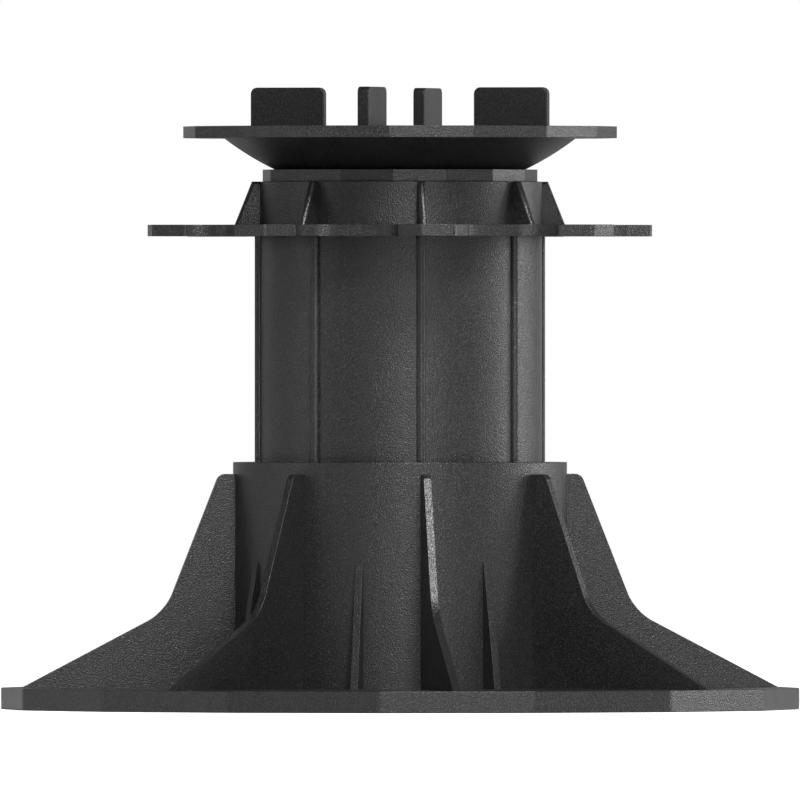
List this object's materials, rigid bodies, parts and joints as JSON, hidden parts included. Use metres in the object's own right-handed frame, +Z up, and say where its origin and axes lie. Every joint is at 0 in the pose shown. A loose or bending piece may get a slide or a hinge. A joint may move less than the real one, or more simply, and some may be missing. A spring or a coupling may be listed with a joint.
{
  "type": "decking pedestal",
  "caption": "Screw-adjusted decking pedestal with a finned foot, a lobed adjusting sleeve and a self-levelling head with slab spacer tabs.",
  "frame": {"origin": "centre of the foot plate on the surface that it stands on", "axes": "+Z up the screw axis, with the spacer tabs along X and Y"},
  "size_m": [0.1962, 0.1962, 0.1555],
  "materials": {
    "base": "fine moulded grain",
    "adjusting_sleeve": "fine moulded grain",
    "head_socket": "fine moulded grain",
    "retaining_stud": "fine moulded grain",
    "head": "fine moulded grain",
    "spacer_disc": "fine moulded grain"
  },
  "bodies": {
    "base": {"base": "base"},
    "socket": {"head_socket": "head_socket"},
    "sleeve": {"adjusting_sleeve": "adjusting_sleeve"},
    "stud": {"retaining_stud": "retaining_stud"},
    "head": {"head": "head"},
    "spacer": {"spacer_disc": "spacer_disc"}
  },
  "joints": [
    {"name": "height_adjust", "type": "slide", "parent": "base", "child": "socket", "axis": [0, 0, 1], "range_m": [-0.0301, 0.0091]},
    {"name": "sleeve_turn", "type": "hinge", "parent": "socket", "child": "sleeve", "pos_m": [0, 0, 0.1], "axis": [0, 0, 1], "range_deg": [-1350, 405]},
    {"name": "head_swivel", "type": "hinge", "parent": "socket", "child": "stud", "pos_m": [0, 0, 0.128], "axis": [0, 0, 1], "continuous": true},
    {"name": "head_tilt", "type": "hinge", "parent": "stud", "child": "head", "pos_m": [0, 0, 0.19985], "axis": [1, 0, 0], "range_deg": [-5, 5]},
    {"name": "spacer_turn", "type": "hinge", "parent": "head", "child": "spacer", "pos_m": [0, 0, 0.1442], "axis": [0, 0, 1], "continuous": true}
  ],
  "couplings": [
    {"joint": "height_adjust", "follows": "sleeve_turn", "m_per_rad": 0.0012732}
  ]
}
